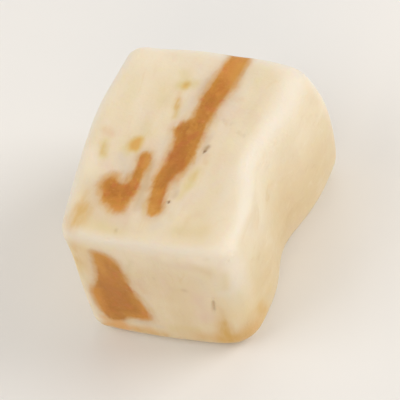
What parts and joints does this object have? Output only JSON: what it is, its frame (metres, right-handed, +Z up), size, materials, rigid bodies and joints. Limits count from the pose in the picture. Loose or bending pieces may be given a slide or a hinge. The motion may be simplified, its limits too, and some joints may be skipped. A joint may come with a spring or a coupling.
{
  "type": "nougat block",
  "caption": "Bite-size block of soft cream nougat with rounded edges, a pinched side, a flat underside and caramel-brown marbling.",
  "frame": {"origin": "middle of the block's box, on the level of its flat underside", "axes": "+Z up; +Y along the longer side, towards the back; +X to the right, towards the pinched side"},
  "size_m": [0.0244, 0.0294, 0.0186],
  "materials": {
    "nougat_cream": "soft satin cream with caramel-brown marbling"
  },
  "bodies": {
    "root": {"nougat": "nougat_cream"}
  },
  "joints": []
}
